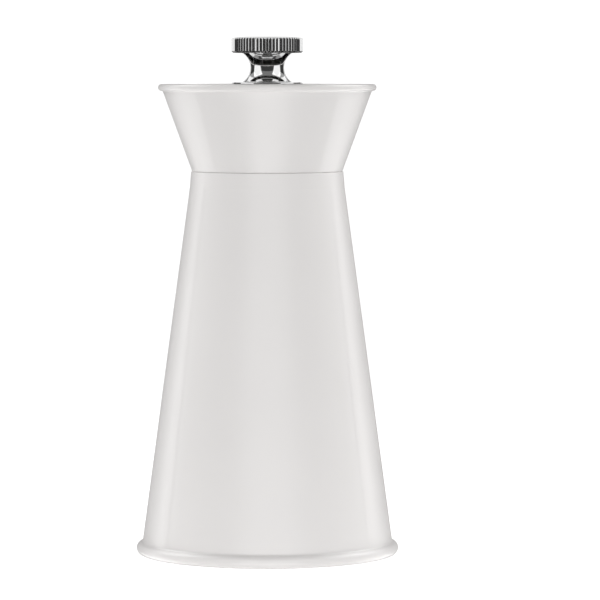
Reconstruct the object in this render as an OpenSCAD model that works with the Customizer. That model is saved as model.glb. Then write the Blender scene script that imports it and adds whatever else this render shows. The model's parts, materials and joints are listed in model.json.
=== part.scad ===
// Pepper mill: a conical sheet-metal body, a flared turning head, a knurled finial nut and ceramic burrs.
// Millimetres. +Z is up, along the mill's axis, and the origin is the centre of the plane it stands on.

/* [Outer form] */
// Height of the body, from the table to its joint with the head
body_h = 111.1; // [105:0.1:125]
// Height of the head, from the joint to the top of its rim
head_h = 25.2; // [24:0.1:32]
// Diameter across the foot bead
foot_d = 76; // [74:0.5:84]
// Diameter across the rim bead
rim_d = 63; // [60:0.5:70]
// Outer diameter of the body at its neck
neck_d = 44; // [44:0.1:46]
// Radius of the foot bead's section
foot_bead_r = 1.8; // [1.6:0.1:2.2]
// Radius of the rim bead's section
rim_bead_r = 1; // [0.9:0.05:1.2]
// Thickness of the sheet metal
sheet_t = 0.6; // [0.5:0.05:0.7]

/* [Knob] */
// Diameter over the knurling
knob_d = 20.7; // [18:0.1:24]
// Height of the knob above its washer
knob_h = 13.15; // [12.5:0.05:16]
// Height of the knurled head
knob_head_h = 4.8; // [4:0.05:6]
// Smallest diameter of the waist
knob_waist_d = 9.9; // [9:0.1:11]
// Radius of the waist's hollow curve
knob_hollow_r = 4.85; // [4.7:0.05:5.5]
// Number of knurling teeth
knurl_teeth = 64; // [40:1:80]
// Depth of the knurling
knurl_depth = 0.45; // [0.2:0.05:0.6]

/* [Spindle and thread] */
// Width across the flats of the square spindle
spindle_w = 6; // [5.5:0.1:6]
// Nominal diameter of the threaded tip
thread_d = 5; // [4:0.5:5]
// Length of the threaded tip
thread_l = 12; // [10:0.5:12]

/* [Burrs] */
// Largest radius of the turning burr
rotor_r = 11.3; // [11:0.1:11.4]
// Grinding gap at the finest setting
grind_gap = 0.4; // [0.3:0.05:0.6]
// Number of fine teeth on each burr
fine_teeth = 36; // [24:1:40]
// Number of coarse teeth on the turning burr
coarse_teeth = 8; // [6:1:10]

/* [Spring] */
// Diameter of the spring's wire
wire_d = 0.8; // [0.6:0.1:0.9]
// Number of turns
spring_turns = 5.5; // [4:0.5:6]

/* [Hidden] */
$fn = 96;

// Clearances
seat_gap = 0.05;     // between fixed pieces that touch
run_gap = 0.05;      // radial, between a shaft and its bearing
slide_gap = 0.1;     // each side of the square spindle

// Body shell: a straight cone from the foot to a steeper collar at the neck
foot_lift = 0.3;                                // the bead stays this far off the table
foot_bead_x = foot_d / 2 - foot_bead_r;
foot_bead_z = foot_lift + foot_bead_r;
wall_z0 = foot_bead_z + foot_bead_r - sheet_t;  // where the wall turns into the bead
neck_r = neck_d / 2;
collar_h = 4.5;
collar_z = body_h - collar_h;
collar_r = neck_r + 0.35;
foot_wall_r = foot_bead_x + 0.1;                // outer radius of the wall at wall_z0
foot_lip_r = foot_bead_x - 2.2;                 // inner edge of the lip that holds the base insert

// Outer and inner radius of the body's wall at height z, below the collar
function body_r(z) = foot_wall_r + (collar_r - foot_wall_r) * (z - wall_z0) / (collar_z - wall_z0);
function body_in_r(z) = body_r(z) - sheet_t - 0.1;

// Head shell: a cone from a turned-in lip at the joint to the rim bead
joint_gap = 0.12;
head_z0 = body_h + joint_gap;
head_top = body_h + head_h;
head_foot_r = neck_r - 0.3;
rim_bead_x = rim_d / 2 - rim_bead_r;
rim_bead_z = head_top - rim_bead_r;
head_wall_z1 = rim_bead_z - rim_bead_r + sheet_t;   // where the wall turns into the bead
head_wall_r1 = rim_bead_x - 0.1;
head_lip_r = 20.3;                                  // inner edge of the lip at the joint
rim_lip_r = rim_bead_x - 2.15;                      // inner edge of the lip at the rim

function head_r(z) = head_foot_r + (head_wall_r1 - head_foot_r) * (z - head_z0) / (head_wall_z1 - head_z0);
function head_in_r(z) = head_r(z) - sheet_t - 0.25;

// Top plate of the head: an outer land under the rim's lip, and a raised middle
plate_land_z = head_top - sheet_t - 0.1;
plate_z = head_top - 0.2;
plate_step_r = 26.5;
plate_hole_r = 3;

// Neck ring and the head's spigot
ring_bore_r = 19.4;
ring_z0 = body_h - 7.6;
spigot_r = ring_bore_r - 0.25;
spigot_in_r = 17.2;
spigot_z0 = body_h - 5.9;
shoulder_z = body_h + 0.1;
seal_wire_r = 0.6;
seal_z = spigot_z0 + 3.1;
seal_r = ring_bore_r - seat_gap - seal_wire_r;

// Head core
core_floor_z = shoulder_z + 2.85;
core_hub_r = 7.4;
core_hub_bore_r = 4.7;
core_hub_z = plate_z - sheet_t - seat_gap;
core_rib_t = 1.4;
core_rib_top_z = plate_land_z - sheet_t - 0.15;
core_ribs = 6;

// Drive plate
drive_plate_t = 1.5;
drive_plate_z = shoulder_z - seat_gap - drive_plate_t;
drive_plate_r = 15.5;
drive_screw_pcr = 11.5;
drive_screw_r = 1.5;

// Knob and washer
washer_t = 0.65;
washer_z = plate_z + seat_gap;
washer_r = knob_d / 2 - 0.1;
knob_z = washer_z + washer_t + seat_gap;
knob_top = knob_z + knob_h;
knob_under_z = knob_top - knob_head_h;
knob_hollow_x = knob_waist_d / 2 + knob_hollow_r;
knob_hollow_z = (knob_z + knob_under_z) / 2;
knob_hollow_end_x = knob_hollow_x
    - sqrt(pow(knob_hollow_r, 2) - pow(knob_hollow_z - knob_z, 2));
knob_dome_h = 0.4;
knob_chamfer = knurl_depth + 0.1;
knob_bore_h = thread_l - 0.8;

// Base insert, funnel and foot pad
insert_z = foot_lift + sheet_t + 0.1;
insert_t = 2;
pad_in_r = 29.5;
pad_out_r = 33;
pad_h = 1.55;
tube_in_r = 19.2;
tube_out_r = 20.8;
tube_top_z = 28.6;
flange_r = 25;
flange_z = 1.2;
flange_t = 1.6;
seat_z = flange_z + flange_t + seat_gap;
seat_t = 1.75;
insert_ribs = 6;
insert_rib_t = 1.6;
funnel_t = 1.3;
funnel_z0 = 29.1;
funnel_z1 = 37.7;
funnel_lip_r = 17;
funnel_foot_r = 19.6;
funnel_rim_r = body_in_r(funnel_z1 + funnel_t) - 0.05;
function funnel_under_z(r) =
    funnel_z0 + (r - funnel_foot_r) * (funnel_z1 - funnel_z0) / (funnel_rim_r - funnel_foot_r);
liner_t = 0.8;
liner_z0 = funnel_z1 + funnel_t + 0.2;
liner_z1 = ring_z0 - 0.1;

// Grinder housing and its bearings
housing_r = tube_in_r - 0.1;
housing_top = 29;
stator_out_r = 14.5;
shoulder_r = 13.6;
stator_z0 = 9;
stator_z1 = 21.9;
bush_r = 6;
boss_r = 8;
boss_z = 24.5;
spider_arms = 3;
bar_z = 4.4;
bar_t = 1.2;
bar_w = 8;
bar_l = 36.4;
bar_screw_x = 16.4;
housing_screw_pcr = 22;
housing_screws_n = 3;

// Burrs: both have a fine band at the bottom and a coarse cone above it
band_taper = 0.8;
rotor_z0 = 10;
band_z = 13.5;
rotor_top_z = 22.5;
rotor_top_r = 8;
stator_mouth_r = 13;
hub_r = 6.4;
hub_z1 = 15;
pin_r = 2;
pin_z0 = 3.4;
clip_z = 8.45;
clip_t = 0.6;
spring_r = 4.95;
spring_z0 = hub_z1 + 0.6;
spring_z1 = boss_z - 1.15;

// Ring of rectangular section
module ring(r_out, r_in, z0, z1) {
    rotate_extrude() translate([r_in, z0]) square([r_out - r_in, z1 - z0]);
}

// Solid of revolution from an outline of [radius, height] points
module turned(outline) {
    rotate_extrude() polygon(outline);
}

// Copies of the children, evenly round the axis
module around(count, start = 0) {
    for (i = [0 : count - 1]) rotate([0, 0, start + i * 360 / count]) children();
}

// Radial webs with one outline of [radius, height] points
module webs(count, thickness, outline, start = 0) {
    around(count, start) rotate([90, 0, 0]) linear_extrude(thickness, center = true) polygon(outline);
}

module square_bore(side, z0, z1) {
    translate([-side / 2, -side / 2, z0]) cube([side, side, z1 - z0]);
}

// Cross recess for a screw whose head's face is at z = 0 and whose shank runs up
module cross_recess(span, depth) {
    for (a = [0, 90]) rotate([0, 0, a]) translate([-span / 2, -0.3, -0.1]) cube([span, 0.6, depth + 0.1]);
}

// Pan-head screw with its head's underside at z = 0 and its shank up
module pan_screw(head_r, head_h, shank_r, shank_l) {
    difference() {
        turned([
            [0, -head_h], [head_r - 0.5, -head_h], [head_r, -head_h + 0.5], [head_r, 0],
            [shank_r, 0], [shank_r, shank_l - shank_r], [0.3, shank_l], [0, shank_l]
        ]);
        translate([0, 0, -head_h]) cross_recess(head_r * 1.1, head_h * 0.6);
    }
}

// Countersunk screw with its flat face at z = 0 and its shank up
module flat_screw(head_r, head_h, shank_r, shank_l) {
    difference() {
        turned([
            [0, 0], [head_r, 0], [shank_r, head_h],
            [shank_r, shank_l - shank_r], [0.3, shank_l], [0, shank_l]
        ]);
        cross_recess(head_r * 1.1, head_h * 0.7);
    }
}

// Section of a sheet's edge, rolled outwards round [0, 0] and then turned in as a flat lip under the bead.
// The bead is open towards the axis, and closed only where the wall comes into it, wall_x inside
// its centre.
module rolled_edge(bead_r, lip_w, wall_x) {
    difference() {
        union() {
            circle(r = bead_r);
            translate([-lip_w, -bead_r]) square([lip_w, sheet_t]);
        }
        circle(r = bead_r - sheet_t);
        translate([-lip_w - 1, sheet_t - bead_r]) square([lip_w + 1, 2 * (bead_r - sheet_t)]);
        translate([-lip_w - 1, sheet_t - bead_r]) square([lip_w + 1 - wall_x, 2 * bead_r]);
    }
}

module body_shell() {
    color("white") rotate_extrude() {
        polygon([
            [foot_wall_r, wall_z0], [collar_r, collar_z], [neck_r, body_h], [neck_r - sheet_t, body_h],
            [collar_r - sheet_t, collar_z], [foot_wall_r - sheet_t, wall_z0]
        ]);
        translate([foot_bead_x, foot_bead_z])
            rolled_edge(foot_bead_r, foot_bead_x - foot_lip_r, foot_bead_x - foot_wall_r + sheet_t);
    }
}

module head_shell() {
    color("white") rotate_extrude() {
        polygon([
            [head_foot_r, head_z0], [head_wall_r1, head_wall_z1],
            [head_wall_r1 - sheet_t, head_wall_z1], [head_foot_r - sheet_t, head_z0 + sheet_t],
            [head_lip_r, head_z0 + sheet_t], [head_lip_r, head_z0]
        ]);
        translate([rim_bead_x, rim_bead_z]) mirror([0, 1, 0])
            rolled_edge(rim_bead_r, rim_bead_x - rim_lip_r, rim_bead_x - head_wall_r1 + sheet_t);
    }
}

module head_top_plate() {
    edge_r = head_in_r(plate_land_z - sheet_t) - 0.05;
    color("white") turned([
        [plate_hole_r, plate_z], [plate_step_r - 1, plate_z],
        [plate_step_r, plate_land_z], [edge_r, plate_land_z],
        [edge_r, plate_land_z - sheet_t], [plate_step_r - 0.3, plate_land_z - sheet_t],
        [plate_step_r - 1.3, plate_z - sheet_t], [plate_hole_r, plate_z - sheet_t]
    ]);
}

module neck_ring() {
    color("ivory") turned([
        [ring_bore_r, ring_z0], [body_in_r(ring_z0), ring_z0], [body_in_r(collar_z), collar_z],
        [neck_r - sheet_t - seat_gap, body_h],
        [ring_bore_r + 0.4, body_h], [ring_bore_r, body_h - 0.4]
    ]);
}

module head_core() {
    cone_gap = 0.05;
    color("ivory") difference() {
        union() {
            ring(spigot_r, spigot_in_r, spigot_z0, shoulder_z + 1);
            ring(head_lip_r - 0.2, core_hub_bore_r, shoulder_z, core_floor_z);
            ring(head_in_r(head_z0 + sheet_t), core_hub_bore_r, head_z0 + sheet_t + seat_gap, core_floor_z);
            ring(core_hub_r, core_hub_bore_r, core_floor_z - 0.5, core_hub_z);
            ring(plate_step_r - 0.2, plate_step_r - 2, core_rib_top_z - 2, core_rib_top_z);
            webs(core_ribs, core_rib_t, [
                [core_hub_r - 0.5, core_floor_z - 0.5],
                [head_in_r(core_floor_z - 0.5) - cone_gap, core_floor_z - 0.5],
                [head_in_r(core_rib_top_z - 1) - cone_gap, core_rib_top_z - 1],
                [plate_step_r + 0.5, core_rib_top_z], [core_hub_r - 0.5, core_rib_top_z]
            ]);
            around(3, 30) translate([drive_screw_pcr, 0, core_floor_z - 0.5]) cylinder(r = 3.2, h = 6);
        }
        around(3, 30) translate([drive_screw_pcr, 0, shoulder_z - 0.1])
            cylinder(r = drive_screw_r + run_gap, h = 8);
        ring(spigot_r + 1, seal_r - seal_wire_r - seat_gap, seal_z - seal_wire_r - seat_gap,
            seal_z + seal_wire_r + seat_gap);
    }
}

module head_seal() {
    color("gray") rotate_extrude() translate([seal_r, seal_z]) circle(r = seal_wire_r);
}

module drive_plate() {
    color("silver") difference() {
        ring(drive_plate_r, 0, drive_plate_z, drive_plate_z + drive_plate_t);
        square_bore(spindle_w + 2 * slide_gap + 0.1, drive_plate_z - 1, drive_plate_z + drive_plate_t + 1);
        around(3, 30) translate([drive_screw_pcr, 0, drive_plate_z - 1])
            cylinder(r = drive_screw_r + 0.15, h = drive_plate_t + 2);
    }
}

module drive_plate_screws() {
    color("silver") around(3, 30) translate([drive_screw_pcr, 0, drive_plate_z - seat_gap])
        pan_screw(2.7, 1.6, drive_screw_r, 8.2);
}

module knob_washer() {
    edge = 0.2;
    color("silver") turned([
        [plate_hole_r, washer_z], [washer_r - edge, washer_z], [washer_r, washer_z + edge],
        [washer_r, washer_z + washer_t - edge], [washer_r - edge, washer_z + washer_t],
        [plate_hole_r, washer_z + washer_t]
    ]);
}

// Points of one knurling tooth at angle a: a root and the two corners of a flat crest
function knurl_tooth(a, step) = [
    for (p = [[-0.5, -knurl_depth], [-0.2, 0], [0.2, 0]])
        (knob_d / 2 + p[1]) * [cos(a + p[0] * step), sin(a + p[0] * step)]
];

module knob() {
    step = 360 / knurl_teeth;
    blank_r = knob_d / 2 + 0.1;              // the blank clears the crests, so only its chamfers cut them
    face_r = knob_d / 2 - knob_chamfer;
    bevel = blank_r - face_r;
    color("silver") difference() {
        union() {
            rotate_extrude() difference() {
                translate([0, knob_z]) square([knob_hollow_end_x, knob_under_z - knob_z + 0.5]);
                translate([knob_hollow_x, knob_hollow_z]) circle(r = knob_hollow_r);
            }
            intersection() {
                turned([
                    [0, knob_under_z], [face_r, knob_under_z], [blank_r, knob_under_z + bevel],
                    [blank_r, knob_top - knob_dome_h - bevel], [face_r, knob_top - knob_dome_h],
                    [face_r - 3.5, knob_top - 0.1], [face_r - 6.5, knob_top], [0, knob_top]
                ]);
                translate([0, 0, knob_under_z - 1]) linear_extrude(knob_head_h + 2)
                    polygon([for (i = [0 : knurl_teeth - 1]) each knurl_tooth(i * step, step)]);
            }
        }
        translate([0, 0, knob_z - 1]) cylinder(r = thread_d / 2, h = knob_bore_h + 1);
    }
}

module spindle() {
    square_top = core_hub_z - 0.85;
    tip_r = thread_d / 2 - run_gap;
    color("silver") difference() {
        union() {
            intersection() {
                square_bore(spindle_w, rotor_z0, square_top);
                translate([0, 0, rotor_z0]) rotate([0, 0, 45])
                    translate([-spindle_w * 0.66, -spindle_w * 0.66, 0])
                    cube([spindle_w * 1.32, spindle_w * 1.32, square_top - rotor_z0]);
            }
            turned([
                [0, square_top - 1], [tip_r, square_top - 1], [tip_r, square_top + thread_l - 0.6],
                [tip_r - 0.6, square_top + thread_l], [0, square_top + thread_l]
            ]);
            turned([
                [0, pin_z0], [pin_r - 0.4, pin_z0], [pin_r, pin_z0 + 0.4],
                [pin_r, rotor_z0 + 1], [0, rotor_z0 + 1]
            ]);
        }
        ring(pin_r + 1, pin_r - 0.5, clip_z - 0.05, clip_z + clip_t + 0.05);
    }
}

// Square prisms laid along a cone's surface, which cut V-grooves in it, between two [radius, height] points
module groove_cutters(count, size, low, high, twist = 0) {
    run = norm(high - low);
    lean = atan2(high[0] - low[0], high[1] - low[1]);
    around(count) translate([(low[0] + high[0]) / 2, 0, (low[1] + high[1]) / 2])
        rotate([0, lean, 0]) rotate([twist, 0, 0]) rotate([0, 0, 45])
            cube([size, size, run + 4], center = true);
}

module rotor() {
    band_r = rotor_r - band_taper;
    color("whitesmoke") difference() {
        turned([
            [0, rotor_z0], [rotor_r - 0.3, rotor_z0], [rotor_r, rotor_z0 + 0.3], [band_r, band_z],
            [rotor_top_r, rotor_top_z - 0.6], [rotor_top_r - 0.6, rotor_top_z], [0, rotor_top_z]
        ]);
        translate([0, 0, rotor_z0 - 1]) cylinder(r = hub_r + seat_gap, h = hub_z1 - rotor_z0 + 1, $fn = 6);
        translate([0, 0, hub_z1 - 0.01]) cylinder(r = bush_r, h = rotor_top_z);
        groove_cutters(fine_teeth, 0.6, [rotor_r, rotor_z0], [band_r, band_z]);
        groove_cutters(coarse_teeth, 1.7, [band_r + 0.3, band_z + 1], [rotor_top_r + 0.3, rotor_top_z],
            24);
    }
}

module stator_ring() {
    waist_r = rotor_r - band_taper + grind_gap;
    foot_r = waist_r + band_taper * (band_z - stator_z0) / (band_z - rotor_z0);
    color("whitesmoke") difference() {
        turned([
            [foot_r, stator_z0], [stator_out_r, stator_z0], [stator_out_r, stator_z1],
            [stator_mouth_r, stator_z1], [waist_r, band_z]
        ]);
        groove_cutters(fine_teeth, 0.6, [foot_r, stator_z0], [waist_r, band_z]);
        groove_cutters(fine_teeth / 3, 1.2, [waist_r, band_z + 1], [stator_mouth_r, stator_z1], -20);
    }
}

module rotor_hub() {
    color("dimgray") difference() {
        translate([0, 0, rotor_z0]) cylinder(r = hub_r, h = hub_z1 - rotor_z0, $fn = 6);
        square_bore(spindle_w + slide_gap, rotor_z0 - 1, hub_z1 + 1);
    }
}

module drive_bush() {
    bush_flange_t = 1;
    color("dimgray") difference() {
        union() {
            ring(bush_r, 0, boss_z - 0.1, housing_top + 0.3);
            ring(boss_r - 0.2, 0, boss_z - 0.1 - bush_flange_t, boss_z - 0.1);
        }
        square_bore(spindle_w + 2 * slide_gap, boss_z - 3, housing_top + 1);
    }
}

module grinder_housing() {
    bore_r = stator_out_r + seat_gap;
    arm_w = 3;
    color("dimgray") difference() {
        union() {
            turned([
                [bore_r, flange_z], [flange_r, flange_z], [flange_r, flange_z + flange_t],
                [housing_r, flange_z + flange_t], [housing_r, housing_top], [shoulder_r, housing_top],
                [shoulder_r, stator_z1 + seat_gap], [bore_r, stator_z1 + seat_gap]
            ]);
            ring(boss_r, bush_r - 1, boss_z, housing_top);
            around(spider_arms) translate([boss_r - 1, -arm_w / 2, boss_z + 0.5])
                cube([shoulder_r - boss_r + 1.5, arm_w, housing_top - boss_z - 1]);
        }
        translate([0, 0, boss_z - 1]) cylinder(r = bush_r + run_gap, h = housing_top);
        translate([-bar_l / 2 - 0.2, -bar_w / 2 - 0.2, flange_z - 1])
            cube([bar_l + 0.4, bar_w + 0.4, bar_z + bar_t + seat_gap - flange_z + 1]);
        for (side = [-1, 1]) translate([side * bar_screw_x, 0, bar_z]) cylinder(r = 1.15, h = 8);
        around(housing_screws_n, 30) translate([housing_screw_pcr, 0, flange_z - 0.1]) {
            cylinder(r = 1.45, h = flange_t + 1);
            cylinder(r1 = 2.55, r2 = 1.35, h = 1.45);
        }
    }
}

module housing_screws() {
    color("silver") around(housing_screws_n, 30) translate([housing_screw_pcr, 0, flange_z])
        flat_screw(2.35, 1.2, 1.25, 8.5);
}

module clamp_ring() {
    color("dimgray")
        ring(stator_out_r, stator_out_r - 2.1, bar_z + bar_t + seat_gap * 2, stator_z0 - seat_gap);
}

module crossbar() {
    end_r = bar_l / 2;
    color("silver") difference() {
        intersection() {
            translate([-end_r, -bar_w / 2, bar_z]) cube([bar_l, bar_w, bar_t]);
            ring(end_r, 0, bar_z, bar_z + bar_t);
        }
        translate([0, 0, bar_z - 1]) cylinder(r = pin_r + run_gap, h = bar_t + 2);
        for (side = [-1, 1])
            translate([side * bar_screw_x, 0, bar_z - 1]) cylinder(r = 1.25, h = bar_t + 2);
    }
}

module crossbar_screws() {
    color("silver") for (side = [-1, 1]) translate([side * bar_screw_x, 0, bar_z - seat_gap])
        pan_screw(1.9, 1.25, 1.1, 7.5);
}

module base_insert() {
    plate_r = foot_lip_r + 1;
    wall_gap = 0.15;
    boss_top_z = 12;
    rib_top_z = 34;
    rib_seat_r = 28;
    color("ivory") difference() {
        union() {
            ring(plate_r, flange_r + 0.2, insert_z, insert_z + insert_t);
            ring(flange_r + 1.8, flange_r + 0.2, insert_z, seat_z + seat_t);
            ring(flange_r + 1.8, tube_in_r, seat_z, seat_z + seat_t);
            ring(tube_out_r, tube_in_r, seat_z, tube_top_z);
            turned([
                [plate_r - 1.4, insert_z + 1], [plate_r, insert_z + 1], [plate_r, wall_z0],
                [body_in_r(8) - wall_gap, 8], [body_in_r(8) - wall_gap - 1.2, 8], [plate_r - 1.4, wall_z0]
            ]);
            webs(insert_ribs, insert_rib_t, [
                [tube_out_r - 0.5, seat_z + 1], [flange_r + 1, seat_z + 1], [flange_r + 1, insert_z + 1],
                [plate_r - 1, insert_z + 1], [body_in_r(8) - wall_gap - 0.3, 8],
                [body_in_r(rib_top_z) - wall_gap, rib_top_z],
                [rib_seat_r, funnel_under_z(rib_seat_r) - 0.15],
                [tube_out_r + 0.5, funnel_under_z(tube_out_r + 0.5) - 0.15], [tube_out_r - 0.5, tube_top_z]
            ]);
            around(housing_screws_n, 30) translate([housing_screw_pcr + 0.3, 0, seat_z + 0.5])
                cylinder(r = 3, h = boss_top_z - seat_z);
        }
        ring(pad_out_r + 0.05, pad_in_r - 0.05, insert_z - 1, pad_h + 0.05);
        around(housing_screws_n, 30) translate([housing_screw_pcr, 0, seat_z - 1]) cylinder(r = 1.3, h = 9);
        translate([0, 0, seat_z - 1]) cylinder(r = tube_in_r, h = tube_top_z);
    }
}

module foot_pad() {
    color("gray") turned([
        [pad_in_r, 0.4], [pad_in_r + 0.4, 0], [pad_out_r - 0.4, 0], [pad_out_r, 0.4], [pad_out_r, pad_h],
        [pad_in_r, pad_h]
    ]);
}

module hopper_funnel() {
    color("ivory") turned([
        [funnel_lip_r, funnel_z0], [funnel_foot_r, funnel_z0], [funnel_rim_r, funnel_z1],
        [funnel_rim_r, funnel_z1 + funnel_t], [funnel_rim_r - 0.8, funnel_z1 + funnel_t],
        [funnel_lip_r, funnel_z0 + 0.8]
    ]);
}

module hopper_liner() {
    low_r = body_in_r(liner_z0) - seat_gap;
    high_r = body_in_r(liner_z1) - seat_gap;
    color("ivory") turned([
        [low_r, liner_z0], [high_r, liner_z1], [high_r - liner_t, liner_z1], [low_r - liner_t, liner_z0]
    ]);
}

// Height of the spring's centreline after t turns: a closed turn at each end, and open turns between
function spring_height(t) =
    let (closed = wire_d * 1.06, open = (spring_z1 - spring_z0 - wire_d - 2 * closed) / (spring_turns - 2))
    spring_z0 + wire_d / 2
    + (t < 1 ? closed * t
        : t < spring_turns - 1 ? closed + open * (t - 1)
        : closed + open * (spring_turns - 2) + closed * (t - spring_turns + 1));

// Wire of the spring: rings of points along a helix, joined by quads and closed at both ends
module spring() {
    sides = 8;
    steps_per_turn = 24;
    steps = round(spring_turns * steps_per_turn);
    points = [
        for (i = [0 : steps], k = [0 : sides - 1])
            let (
                turn = i / steps_per_turn,
                r = spring_r + wire_d / 2 * cos(k * 360 / sides),
                z = spring_height(turn) + wire_d / 2 * sin(k * 360 / sides)
            ) [r * cos(turn * 360), r * sin(turn * 360), z]
    ];
    skin = [
        for (i = [0 : steps - 1], k = [0 : sides - 1])
            let (a = i * sides + k, b = i * sides + (k + 1) % sides) [a, b, b + sides, a + sides]
    ];
    start_cap = [for (k = [sides - 1 : -1 : 0]) k];
    end_cap = [for (k = [0 : sides - 1]) steps * sides + k];
    color("silver") polyhedron(points, concat(skin, [start_cap, end_cap]));
}

module spring_washer() {
    color("silver") ring(bush_r - 0.2, spring_r - 0.5, hub_z1 + seat_gap, hub_z1 + 0.55);
}

module end_washer() {
    color("silver") ring(7.2, pin_r + 0.1, clip_z + clip_t + seat_gap, rotor_z0 - seat_gap);
}

// E-clip: a ring with an open side and two reliefs
module retaining_clip() {
    inner_r = pin_r - 0.45;
    outer_r = 3.6;
    color("silver") translate([0, 0, clip_z]) linear_extrude(clip_t) difference() {
        circle(r = outer_r);
        circle(r = inner_r);
        translate([0, -inner_r]) square([outer_r + 1, 2 * inner_r]);
        for (a = [125, 235]) rotate([0, 0, a]) translate([inner_r + 0.35, 0]) circle(r = 0.7);
    }
}

body_shell();
neck_ring();
hopper_liner();
hopper_funnel();
base_insert();
foot_pad();
grinder_housing();
housing_screws();
stator_ring();
clamp_ring();
crossbar();
crossbar_screws();
drive_bush();
spindle();
rotor();
rotor_hub();
spring();
spring_washer();
end_washer();
retaining_clip();
head_shell();
head_top_plate();
head_core();
head_seal();
drive_plate();
drive_plate_screws();
knob_washer();
knob();
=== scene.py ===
import json
import math

import bmesh
import bpy
import numpy as np
from mathutils import Matrix, Vector

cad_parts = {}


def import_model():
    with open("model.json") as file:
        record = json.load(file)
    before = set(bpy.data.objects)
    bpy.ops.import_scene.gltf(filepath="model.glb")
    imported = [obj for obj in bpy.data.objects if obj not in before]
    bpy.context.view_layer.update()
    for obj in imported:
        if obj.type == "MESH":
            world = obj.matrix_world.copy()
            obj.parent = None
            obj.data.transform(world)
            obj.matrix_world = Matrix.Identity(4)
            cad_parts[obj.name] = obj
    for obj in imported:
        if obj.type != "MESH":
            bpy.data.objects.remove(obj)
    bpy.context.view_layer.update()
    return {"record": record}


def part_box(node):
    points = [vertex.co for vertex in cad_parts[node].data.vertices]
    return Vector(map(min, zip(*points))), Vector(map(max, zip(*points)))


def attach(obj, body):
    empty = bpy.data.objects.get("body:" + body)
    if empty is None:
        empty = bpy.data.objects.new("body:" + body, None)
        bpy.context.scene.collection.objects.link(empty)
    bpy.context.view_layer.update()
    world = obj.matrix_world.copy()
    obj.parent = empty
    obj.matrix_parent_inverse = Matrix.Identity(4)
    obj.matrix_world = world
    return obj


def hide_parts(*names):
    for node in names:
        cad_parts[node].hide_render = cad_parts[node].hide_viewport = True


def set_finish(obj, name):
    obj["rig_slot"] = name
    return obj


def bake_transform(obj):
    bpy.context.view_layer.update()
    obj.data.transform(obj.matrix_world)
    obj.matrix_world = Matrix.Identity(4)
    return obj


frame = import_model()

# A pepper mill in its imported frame, which is in metres. Shapes below are in millimetres on that
# frame, with +Z up the mill's axis, and each piece is scaled once, when its mesh is made.
MM = 0.001
SHRINK = Matrix.Scale(MM, 4)
AROUND = 192  # steps round a turned piece
AXIS_R = 0.0005  # an outline that meets the axis stays this far off it
CORNERS = ((-1, -1), (1, -1), (1, 1), (-1, 1))  # of a square with unit half side
BODY_OF = {
    node: body for body, nodes in frame["record"]["behaviour"]["bodies"].items() for node in nodes
}
SLOT_OF = {piece["node"]: piece["material_slot"] for piece in frame["record"]["subparts"]}


def low(node):
    """Lowest corner of a CAD node, in millimetres."""
    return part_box(node)[0] / MM


def high(node):
    """Highest corner of a CAD node, in millimetres."""
    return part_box(node)[1] / MM


# ---------------------------------------------------------------- mesh tools


def link_new(name, data):
    """Object of that data, linked to the scene."""
    item = bpy.data.objects.new(name, data)
    bpy.context.scene.collection.objects.link(item)
    return item


def rounded(corners, closed=True, steps=6):
    """Points and outward normals (r, z, normal r, normal z) along an outline.

    Each corner is (r, z, fillet radius), and the outline is walked with the solid on its left. An
    open outline keeps its two end corners as they are.
    """
    count = len(corners)
    places = [Vector(c[:2]) for c in corners]
    rows = []

    def heading(i):
        return (places[(i + 1) % count] - places[i % count]).normalized()

    for i, (r, z, fillet) in enumerate(corners):
        if not closed and i in (0, count - 1):
            along = heading(0 if i == 0 else count - 2)
            rows.append((r, z, along.y, -along.x))
            continue
        before, after = heading(i - 1), heading(i)
        turn = math.atan2(before.x * after.y - before.y * after.x, before.dot(after))
        side = math.copysign(1, turn)
        start = places[i] - before * fillet * math.tan(abs(turn) / 2)
        centre = start + Vector((-before.y, before.x)) * fillet * side
        bends = max(2, min(3 * steps, round(steps * abs(turn) / math.radians(60))))
        for k in range(bends + 1):
            angle = math.atan2(before.y, before.x) + turn * k / bends
            normal = Vector((math.sin(angle), -math.cos(angle)))
            place = centre + normal * fillet * side
            rows.append((place.x, place.y, normal.x, normal.y))
    return rows


def grid(name, places, normals=None, around=True, along=False):
    """Mesh object from rows of points, joined round each row, and along the rows too if asked."""
    rows, columns = places.shape[:2]
    faces = []
    for i in range(rows if along else rows - 1):
        low_row, high_row = i * columns, (i + 1) % rows * columns
        for j in range(columns if around else columns - 1):
            k = (j + 1) % columns
            faces.append((low_row + j, low_row + k, high_row + k, high_row + j))
    mesh = bpy.data.meshes.new(name)
    mesh.from_pydata((places.reshape(-1, 3) * MM).tolist(), [], faces)
    mesh.shade_smooth()
    if normals is not None:
        mesh.normals_split_custom_set_from_vertices(normals.reshape(-1, 3).tolist())
    return link_new(name, mesh)


def polar(radius, angle, z):
    """Points of a grid, from arrays of radius, angle and height."""
    return np.stack(np.broadcast_arrays(radius * np.cos(angle), radius * np.sin(angle), z), 2)


def turned(name, corners, closed=True, around=AROUND, steps=6):
    """Solid of revolution with rounded corners and exact normals."""
    rows = np.array(rounded(corners, closed, steps))
    rows[:, 0] = np.maximum(rows[:, 0], AXIS_R)
    angle = np.arange(around) * 2 * np.pi / around
    places = polar(rows[:, :1], angle, rows[:, 1:2])
    normals = polar(rows[:, 2:3], angle, rows[:, 3:])
    return grid(name, places, normals, along=closed)


def evaluated(item):
    """Mesh of an item with its curve settings or modifiers applied."""
    item = item.evaluated_get(bpy.context.evaluated_depsgraph_get())
    return bpy.data.meshes.new_from_object(item)


def copies(item, matrices):
    """Objects like an item, moved in millimetres by each matrix; the item itself is dropped."""
    made = []
    for matrix in matrices:
        mesh = item.data.copy()
        mesh.transform(SHRINK @ matrix @ SHRINK.inverted())
        made.append(link_new(item.name, mesh))
    bpy.data.objects.remove(item)
    return made


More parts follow.
